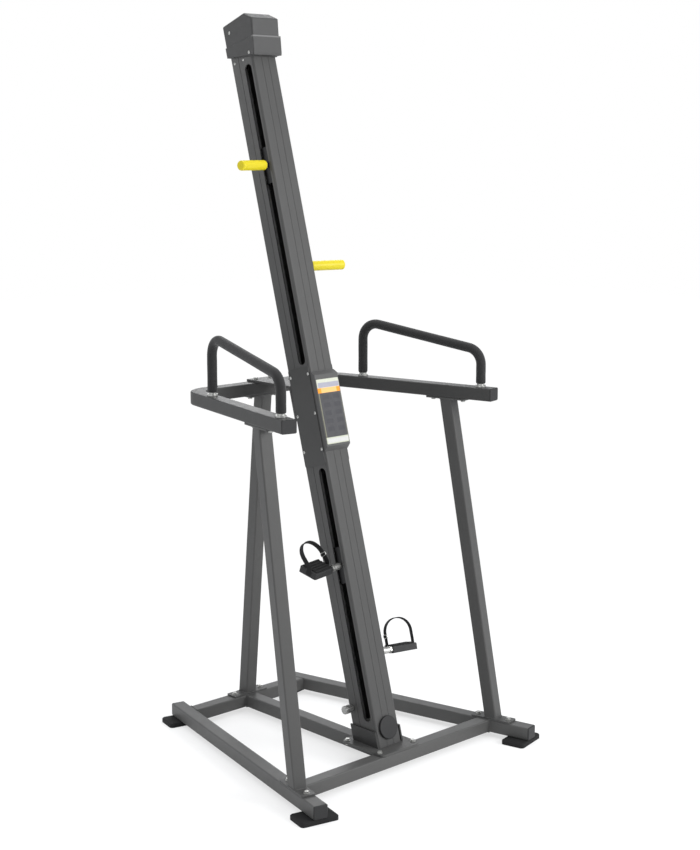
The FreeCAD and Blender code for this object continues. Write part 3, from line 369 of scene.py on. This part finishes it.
def console_film(name):
    """Printed console: pale border, lilac header, orange band, display field, bottom bar."""
    g = Graph(name)
    x, _, up = mast_axes(g)
    soft = 0.0008
    inside = x.between(*print_sides, soft)
    cloud, fine = g.noise(60, 4), g.noise(230, 2)
    field = g.mixed(cloud, (0.048, 0.048, 0.053), (0.078, 0.078, 0.083))
    # faint darker windows in two columns
    first_row, row_pitch = window_rows
    first_column, column_pitch = window_columns
    rows = ((up - first_row) / row_pitch).math("FRACT").between(0.30, 0.86, 0.10)
    columns = ((x - first_column) / column_pitch).math("FRACT").between(0.22, 0.84, 0.06)
    windows = rows * columns * up.between(*window_field, soft) * inside
    colour = g.mixed(windows * 0.34, field, (0.030, 0.030, 0.038))
    edge = g.mixed(fine, (0.165, 0.165, 0.120), (0.215, 0.213, 0.160))
    colour = g.mixed(inside, edge, colour)
    header = g.mixed(fine, (0.50, 0.52, 0.42), (0.60, 0.61, 0.53))
    colour = g.mixed(up.above(header_low, soft), colour, header)
    lilac = g.mixed(cloud, (0.30, 0.30, 0.36), (0.38, 0.38, 0.44))
    colour = g.mixed(up.between(*lilac_strip, soft) * inside, colour, lilac)
    blocks = x.math("ABSOLUTE").above(end_block, soft)
    band = g.mixed(blocks, (0.84, 0.47, 0.17), (0.90, 0.30, 0.02))
    colour = g.mixed(up.between(*orange_band, soft), colour, band)
    colour = g.mixed(up.above(foot_border, soft), (0.50, 0.52, 0.42), colour)
    foot = g.mixed(fine, (0.52, 0.52, 0.50), (0.60, 0.60, 0.59))
    colour = g.mixed(up.between(*foot_strip, soft) * inside, colour, foot)
    return g.shaded(colour, 0.46 + cloud * 0.1, windows, 0.0002, Specular_IOR_Level=0.25)


def weld_metal(name):
    """Weld bead under the same paint as the frame."""
    g = Graph(name)
    tone = g.mixed(g.noise(160, 3), scaled(FRAME_GREY, 0.75), scaled(FRAME_GREY, 1.05))
    return g.shaded(tone, 0.42 + g.noise(80, 2) * 0.1, g.noise(700, 2), 0.0002)


def make_materials():
    even, upright = (1.0, 1.0, 1.0), (1.0, 1.0, 0.03)
    return {
        "frame_paint": powder_coat("frame_paint", FRAME_GREY, frame_painted_light),
        "mast_paint": powder_coat("mast_paint", MAST_GREY, mast_painted_shade),
        "zinc": drawn_metal("zinc", ZINC_GREY, 0.30, even),
        "steel_bar": drawn_metal("steel_bar", STEEL_GREY, 0.26, upright),
        "cast_alloy": drawn_metal("cast_alloy", ALLOY_GREY, 0.34, even),
        "dark_alloy": drawn_metal("dark_alloy", DARK_ALLOY, 0.42, even),
        "shoe_paint": powder_coat("shoe_paint", FRAME_GREY, shoe_painted_shade),
        # painted shade: dark plastic standing in for the shaded hollow of each screw's cross
        # recess
        "recess": moulded_plastic("recess", BLACK_PLASTIC, 0.6),
        "black_plastic": moulded_plastic("black_plastic", BLACK_PLASTIC),
        "cover_plastic": cover_plastic("cover_plastic", HOUSING_GREY),
        "glide_plastic": moulded_plastic("glide_plastic", GLIDE_WHITE, 0.36),
        "panel_film": console_film("panel_film"),
        "foot_rubber": rubber("foot_rubber", RUBBER_BLACK),
        "foam": foam("foam", FOAM_BLACK),
        "belt": belting("belt", RUBBER_BLACK),
        "yellow_grip": vinyl_grip("yellow_grip", GRIP_YELLOW),
        "weld": weld_metal("weld"),
    }


MATERIALS = make_materials()


def dress_frame():
    """Give each frame node the material of its slot in the record."""
    for entry in frame["record"]["subparts"]:
        mesh = NODES[entry["node"]].data
        mesh.materials.clear()
        mesh.materials.append(MATERIALS[entry["material_slot"]])


# ---- Places on the frame -------------------------------------------------------------
def mast_point(x, depth, along):
    """Point or points of the frame from mast axes."""
    return np.array((x, mast_foot_y + depth * math.cos(mast_lean) + along * math.sin(mast_lean),
                     along * math.cos(mast_lean) - depth * math.sin(mast_lean)))


def arm_x(sign, y):
    """Distance of an arm's centreline from the middle at a given y."""
    share = (crossbar_y - y) / arm_run
    return sign * (arm_rear_half + (arm_front_half - arm_rear_half) * share)


def rail_x(sign, y):
    """Distance of a side rail's centreline from the middle at a given y."""
    share = (y + rail_half_run) / (2 * rail_half_run)
    return sign * (rail_front_half + (rail_rear_half - rail_front_half) * share)


# ---- Surfaces from numpy -------------------------------------------------------------
def new_piece(name, points, faces, material):
    """Object at the origin with one mesh and one material."""
    mesh = bpy.data.meshes.new(name)
    mesh.from_pydata(points.reshape(-1, 3).tolist(), [], faces)
    mesh.materials.append(material)
    mesh.update()
    piece = bpy.data.objects.new(name, mesh)
    bpy.context.scene.collection.objects.link(piece)
    return piece


def grid_mesh(name, points, material, closed_u=False, closed_v=True, caps=True):
    """Mesh over a grid of points (rows u, columns v), with a flat cap at each open end."""
    rows, columns = points.shape[:2]
    index = np.arange(rows * columns).reshape(rows, columns)
    u = index if not closed_u else np.vstack([index, index[:1]])
    if closed_v:
        u = np.hstack([u, u[:, :1]])
    quads = np.stack([u[:-1, :-1], u[:-1, 1:], u[1:, 1:], u[1:, :-1]], axis=-1).reshape(-1, 4)
    faces = quads.tolist()
    if caps and not closed_u:
        faces.append(index[0, ::-1].tolist())
        faces.append(index[-1].tolist())
    piece = new_piece(name, points, faces, material)
    piece.data.polygons.foreach_set("use_smooth", [len(face) == 4 for face in faces])
    piece.data.update()
    return piece


def filleted_path(corners, radius, steps, straight):
    """Points along straight runs joined by arcs that touch them."""
    corners = [np.array(corner, float) for corner in corners]
    points = [corners[0]]
    for before, corner, after in zip(corners, corners[1:], corners[2:]):
        ahead = (corner - before) / np.linalg.norm(corner - before)
        onward = (after - corner) / np.linalg.norm(after - corner)
        turn = math.acos(float(np.clip(ahead @ onward, -1, 1)))
        start = corner - ahead * radius * math.tan(turn / 2)
        inward = onward - ahead * (ahead @ onward)
        centre = start + inward / np.linalg.norm(inward) * radius
        last = points[-1]
        points += [last + (start - last) * k / straight for k in range(1, straight)]
        for angle in np.linspace(0, turn, steps):
            across = start - centre
            points.append(centre + across * math.cos(angle) + ahead * radius * math.sin(angle))
    last = points[-1]
    points += [last + (corners[-1] - last) * k / straight for k in range(1, straight + 1)]
    return np.array(points)


def path_frames(path, side):
    """The two cross directions at each point of an open path; side is constant."""
    tangents = np.gradient(path, axis=0)
    tangents /= np.linalg.norm(tangents, axis=1)[:, None]
    side = np.array(side, float)
    across = side - tangents * (tangents @ side)[:, None]
    across /= np.linalg.norm(across, axis=1)[:, None]
    return across, np.cross(tangents, across)


def tube_along(path, side, radii, count):
    """Circle of a given radius swept along a path: centre + r (cos a, sin a)."""
    across, over = path_frames(path, side)
    angle = np.linspace(0, 2 * math.pi, count, endpoint=False)
    ring = (np.cos(angle)[None, :, None] * across[:, None, :]
            + np.sin(angle)[None, :, None] * over[:, None, :])
    return path[:, None, :] + radii[:, None, None] * ring


def closed_tube(path, normal, radii, count, stretch=1.0):
    """Circle swept round a closed flat path, stretched along the normal of its plane."""
    tangents = np.roll(path, -1, axis=0) - np.roll(path, 1, axis=0)
    tangents /= np.linalg.norm(tangents, axis=1)[:, None]
    across = np.cross(tangents, normal)
    angle = np.linspace(0, 2 * math.pi, count, endpoint=False)
    ring = (np.cos(angle)[None, :, None] * across[:, None, :]
            + np.sin(angle)[None, :, None] * normal * stretch)
    return path[:, None, :] + np.reshape(radii, (-1, 1, 1)) * ring


def blunt(wave, power):
    """A sine or cosine with steeper flanks, for a squarer closed curve."""
    return np.sign(wave) * np.abs(wave) ** power


# ---- Handrail foam -------------------------------------------------------------------
def foam_sleeve(side, sign):
    """Foam sleeve: a swept circle, a little fuller in the middle and rolled in at its ends."""
    corners = []
    for post, order in (("rear", 1), ("front", -1)):
        y, rise = loop_posts[post]
        foot = (arm_x(sign, y), y, arm_top + foam_lift)
        crown = (arm_x(sign, y), y, arm_top + rise)
        corners += [foot, crown][::order]
    path = filleted_path(corners, loop_bend, 22, 26)
    share = np.linspace(0, 1, len(path))
    ends = np.minimum(share, 1 - share) * len(path)
    roll = np.sqrt(np.clip(1 - (1 - np.clip(ends / 2.0, 0, 1)) ** 2, 0, 1))
    radii = foam_inner + (foam_outer - foam_inner) * (0.25 + 0.75 * roll)
    radii += 0.00012 * np.sin(share * 47) * roll
    grip = grid_mesh(side + "_foam_sleeve", tube_along(path, (sign, 0.23, 0), radii, 48),
                     MATERIALS["foam"])
    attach(grip, "frame")
    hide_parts(side + "_handrail_grip")


# ---- Welds ---------------------------------------------------------------------------
def weld_bead(name, corners, radius):
    """Rippled bead round a closed outline: a swept circle whose radius waves."""
    corners = np.array(corners, float)
    closed = np.vstack([corners, corners[:1]])
    lengths = np.linalg.norm(np.diff(closed, axis=0), axis=1)
    total = np.concatenate([[0], np.cumsum(lengths)])
    count = int(total[-1] / 0.0016)
    along = np.linspace(0, total[-1], count, endpoint=False)
    path = np.stack([np.interp(along, total, closed[:, k]) for k in range(3)], axis=1)
    radii = radius * (1 + 0.16 * np.sin(along / 0.0034 * 2 * math.pi))
    normal = np.cross(corners[1] - corners[0], corners[2] - corners[1])
    normal /= np.linalg.norm(normal)
    bead = grid_mesh(name, closed_tube(path, normal, radii, 8), MATERIALS["weld"],
                     closed_u=True)
    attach(bead, "frame")


def level_outline(centre, lean, heading, half, corner, steps=4):
    """Outline of a leaning square tube where it meets a level plane."""
    lean = lean / np.linalg.norm(lean)
    first = np.cross(heading, lean)
    first /= np.linalg.norm(first)
    second = np.cross(lean, first)
    points = []
    for quarter, (a, b) in enumerate(((1, 1), (-1, 1), (-1, -1), (1, -1))):
        for step in range(steps + 1):
            angle = math.pi / 2 * (quarter + step / steps)
            offset = (first * (a * (half - corner) + corner * math.cos(angle))
                      + second * (b * (half - corner) + corner * math.sin(angle)))
            points.append(centre + offset - lean * (offset[2] / lean[2]))
    return points


def leg_welds():
    """A bead round each leg where it meets its foot plate and its head plate."""
    legs = {"rear_leg": ((0, rear_cross_y), (0, crossbar_y), (1, 0, 0))}
    for side, sign in SIDES:
        rail_way = (rail_x(sign, 1) - rail_x(sign, 0), 1, 0)
        legs["front_leg_" + side] = ((rail_x(sign, leg_foot_y), leg_foot_y),
                                     (arm_x(sign, leg_head_y), leg_head_y), rail_way)
    for name, (foot, head, heading) in legs.items():
        low = np.array((*foot, rail_top))
        high = np.array((*head, arm_low))
        lean = (high - low) / (high - low)[2]
        for end, centre in (("foot", low + lean * plate_thick),
                            ("head", high - lean * plate_thick)):
            outline = level_outline(centre, lean, np.array(heading, float), leg_size / 2,
                                    leg_corner)
            weld_bead("%s_%s_weld" % (name, end), outline, leg_bead)


def collar_welds():
    """A bead round each handrail collar on the arm."""
    turn = np.linspace(0, 2 * math.pi, 40, endpoint=False)
    for side, sign in SIDES:
        for post, (y, _) in loop_posts.items():
            x = arm_x(sign, y)
            ring = np.stack([x + collar_radius * np.cos(turn), y + collar_radius * np.sin(turn),
                             np.full_like(turn, arm_top)], axis=1)
            weld_bead("%s_%s_collar_weld" % (side, post), ring, collar_bead)


def rail_welds():
    """Beads where the cross tubes and the centre rail meet their neighbours, sides and top."""
    low, high = rail_top - rail_height, rail_top
    half = rail_width / 2
    section = ((-half, low), (half, low), (half, high), (-half, high))
    for name, y in (("front", front_cross_y), ("rear", rear_cross_y)):
        for side, sign in SIDES:
            corners = []
            for dy, z in section:
                edge = rail_x(sign, y + dy) - sign * half / math.cos(rail_splay)
                corners.append((edge, y + dy, z))
            weld_bead("%s_%s_joint_weld" % (name, side), corners, joint_bead)
    for name, y in (("front", front_cross_y + half), ("rear", rear_cross_y - half)):
        corners = [(x, y, z) for x, z in section]
        weld_bead("centre_%s_joint_weld" % name, corners, joint_bead)


# ---- Toe straps ----------------------------------------------------------------------
def pedal_axes(sign, tilt):
    """Columns: across, to the toe and up, of a pedal's own axes."""
    turn, pitch = -sign * toe_out, math.radians(tilt)
    level = np.array(((math.cos(turn), -math.sin(turn), 0), (math.sin(turn), math.cos(turn), 0),
                      (0, 0, 1)))
    lifted = np.array(((1, 0, 0), (0, math.cos(pitch), -math.sin(pitch)),
                       (0, math.sin(pitch), math.cos(pitch))))
    return level @ lifted


def leant_over(points, lean):
    """Bend a shape drawn upright: above the platform's top it turns over by the lean.

    The turn grows smoothly with height, and the shape follows the bent line's arc length.
    """
    foot = -0.002
    height = np.linspace(-0.03, 0.12, 600)
    share = np.clip((height - foot) / 0.018, 0, 1)
    turn = lean * share * share * (3 - 2 * share)
    step = height[1] - height[0]
    start = int(np.searchsorted(height, foot))
    forward = np.cumsum(np.sin(turn)) * step
    upward = np.cumsum(np.cos(turn)) * step
    forward, upward = forward - forward[start], upward - upward[start] + height[start]
    w, h = points[..., 1], points[..., 2]
    angle = np.interp(h, height, turn)
    bent = points.copy()
    bent[..., 1] = strap_forward + np.interp(h, height, forward) + w * np.cos(angle)
    bent[..., 2] = pedal_top + np.interp(h, height, upward) - w * np.sin(angle)
    return bent


def on_pedal(points, sign, along, tilt):
    """Carry points from a pedal's own axes to the frame."""
    return points @ pedal_axes(sign, tilt).T + mast_point(sign * mast_half, slot_depth, along)


def toe_strap(side, sign, along, tilt, lean):
    """Moulded strap: a flat oval section with raised edges swept over a leaning arch."""
    inner = pedal_inner - strap_thick / 2
    outer = pedal_inner + pedal_width + strap_thick / 2
    low, high = -strap_tab, strap_rise - strap_thick / 2
    corners = [(sign * inner, 0, low), (sign * inner, 0, high),
               (sign * outer, 0, high), (sign * outer, 0, low)]
    path = filleted_path(corners, strap_bend, 34, 40)
    across, over = path_frames(path, (0, 1, 0))
    angle = np.linspace(0, 2 * math.pi, 56, endpoint=False)
    wide = blunt(np.cos(angle), 0.35) * strap_width / 2
    lip = 1 + 0.30 * (np.abs(wide) > strap_width * 0.36)
    thin = blunt(np.sin(angle), 0.6) * strap_thick / 2 * lip
    points = (path[:, None, :] + wide[None, :, None] * across[:, None, :]
              + thin[None, :, None] * over[:, None, :])
    points = on_pedal(leant_over(points, math.radians(lean)), sign, along, tilt)
    strap = grid_mesh(side + "_strap_band", points, MATERIALS["foot_rubber"])
    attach(strap, side + "_foot")
    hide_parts(side + "_toe_strap")


def strap_buckle(side, sign, along, tilt, lean):
    """Wire slider on the strap's inner leg: a small tube swept round a rounded oblong."""
    turn = np.linspace(0, 2 * math.pi, 72, endpoint=False)
    half_wide, half_high = buckle_half
    x = sign * (pedal_inner - strap_thick / 2)
    path = np.stack([np.full_like(turn, x), half_wide * blunt(np.cos(turn), 0.4),
                     buckle_height + half_high * blunt(np.sin(turn), 0.4)], axis=1)
    points = closed_tube(path, np.array((1.0, 0, 0)), buckle_wire, 12, stretch=1.9)
    points = on_pedal(leant_over(points, math.radians(lean)), sign, along, tilt)
    buckle = grid_mesh(side + "_strap_buckle", points, MATERIALS["zinc"], closed_u=True)
    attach(buckle, side + "_foot")


# ---- Screw recesses ------------------------------------------------------------------
def screw_places():
    """Mast coordinates (x, depth, along) of the seats of the panel screws."""
    places = [(sign * (mast_half + cover_thick), depth, along) for _, sign in SIDES
              for along in cover_screw_along for depth in cover_screw_depths]
    for _, sign in SIDES:
        places += [(sign * housing_half, *crown_screw), (sign * housing_lower_half, *chin_screw)]
        places += [(sign * mast_half, depth, mast_screw_along) for depth in mast_screw_depths]
    return np.array(places)


def recess_sliver(arm):
    """One bar of the cross, on a head that faces +x: rows along it, four columns round it.

    Its roof and floor follow the head's dome, whose height falls from the crown by
    R - sqrt(R^2 - run^2 - across^2).
    """
    run = np.linspace(-recess_reach, recess_reach, 9)
    lines = []
    for across, lift in ((-recess_half, -recess_sink), (recess_half, -recess_sink),
                         (recess_half, recess_proud), (-recess_half, recess_proud)):
        dome = np.sqrt(screw_dome ** 2 - run ** 2 - across ** 2) - screw_dome
        out = dome + screw_head + arm * 0.00001 + lift
        flat = (run, np.full_like(run, across))
        lines.append(np.stack([out, *(flat[::-1] if arm else flat)], axis=1))
    return np.stack(lines, axis=1)


def screw_recesses():
    """Cross recess of every panel screw: two dark slivers that follow the head's dome, painted
    shade in place of the hollow.
    """
    points, faces, start = [], [], 0
    for arm in (0, 1):
        sliver = recess_sliver(arm)
        rows, columns = sliver.shape[:2]
        index = np.arange(rows * columns).reshape(rows, columns)
        ring = np.roll(index, -1, axis=1)
        quads = np.stack([index[:-1], ring[:-1], ring[1:], index[1:]], axis=-1).reshape(-1, 4)
        quads = np.vstack([quads, index[0, ::-1][None], index[-1][None]])
        for place in screw_places():
            side = np.sign(place[0])
            flip = (side > 0) == (arm == 0)
            faces += ((quads[:, ::-1] if flip else quads) + start).tolist()
            points.append((place + sliver * (side, 1, 1)).reshape(-1, 3))
            start += rows * columns
    points = mast_point(*np.vstack(points).T).T
    piece = new_piece("screw_recesses", points, faces, MATERIALS["recess"])
    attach(piece, "frame")


# ---- Studio --------------------------------------------------------------------------
def floor_material():
    """White floor: it takes a soft shadow near the machine and fades to plain white."""
    g = Graph("floor")
    x, y, _ = g.parts(g.place())
    away = (x * x + y * y).math("SQRT").above(1.55, 1.7)
    tone = g.mixed(g.noise(2, 2), (0.93, 0.93, 0.93), (0.96, 0.96, 0.96))
    lit = g.node("ShaderNodeBsdfDiffuse", "BSDF", {"Color": tone})
    seen = g.node("ShaderNodeEmission", "Emission", {"Color": (1, 1, 1, 1), "Strength": 1.02})
    direct = g.node("ShaderNodeLightPath", "Is Camera Ray")
    plain = direct * (0.60 + away * 0.40)
    g.finish(g.node("ShaderNodeMixShader", 0, [plain, lit, seen]))
    return g.material


def lamp(name, place, size, power, height):
    """Round soft lamp that faces the machine's middle line at a height."""
    light = bpy.data.lights.new(name, "AREA")
    light.shape = "DISK"
    light.size = size
    light.energy = power
    made = bpy.data.objects.new(name, light)
    made.location = place
    aim = Vector((0, 0, height)) - Vector(place)
    made.rotation_euler = aim.to_track_quat("-Z", "Y").to_euler()
    bpy.context.scene.collection.objects.link(made)


def stand_camera():
    """Camera on the user's side and to the left, two metres up."""
    place, target = Vector((-3.5139, -3.8733, 2.0099)), Vector((0.0156, -0.103, 1.0991))
    made = bpy.data.objects.new("camera", bpy.data.cameras.new("camera"))
    made.location = place
    made.rotation_euler = (target - place).to_track_quat("-Z", "Y").to_euler()
    made.data.sensor_fit = "VERTICAL"
    made.data.sensor_height = 36
    made.data.lens = 68.206
    made.data.clip_end = 60
    bpy.context.scene.collection.objects.link(made)
    return made


def room():
    """World that lights softly and shows plain white to the camera."""
    world = bpy.data.worlds.new("room")
    world.use_nodes = True
    tree = world.node_tree
    tree.nodes.clear()
    path = tree.nodes.new("ShaderNodeLightPath")
    soft, white = tree.nodes.new("ShaderNodeBackground"), tree.nodes.new("ShaderNodeBackground")
    soft.inputs["Color"].default_value = (0.85, 0.87, 0.90, 1)
    soft.inputs["Strength"].default_value = 0.76
    white.inputs["Color"].default_value = (1, 1, 1, 1)
    mix = tree.nodes.new("ShaderNodeMixShader")
    out = tree.nodes.new("ShaderNodeOutputWorld")
    tree.links.new(path.outputs["Is Camera Ray"], mix.inputs["Fac"])
    tree.links.new(soft.outputs[0], mix.inputs[1])
    tree.links.new(white.outputs[0], mix.inputs[2])
    tree.links.new(mix.outputs[0], out.inputs["Surface"])
    return world


def studio():
    """Pale floor, soft lamps and the camera."""
    scene = bpy.context.scene
    reach = (-14.0, 14.0)
    floor = grid_mesh("floor", np.array([[(x, y, -0.0005) for x in reach] for y in reach]),
                      floor_material(), closed_v=False, caps=False)
    lamp("key", (2.1, -5.2, 3.1), 2.8, 246, 1.0)
    lamp("fill", (-4.5, -1.5, 2.2), 3.0, 30, 1.0)
    lamp("top", (0.3, 0.6, 5.2), 3.2, 88, 0.6)
    lamp("rim", (2.8, 3.4, 3.4), 2.0, 42, 1.3)
    lamp("back", (-2.6, 3.9, 2.7), 2.0, 30, 1.2)
    scene.camera = stand_camera()
    scene.view_settings.view_transform = "Standard"
    scene.world = room()


dress_frame()
for side, sign in SIDES:
    foam_sleeve(side, sign)
for side, values in pedals.items():
    toe_strap(side, *values)
    strap_buckle(side, *values)
screw_recesses()
leg_welds()
collar_welds()
rail_welds()
studio()
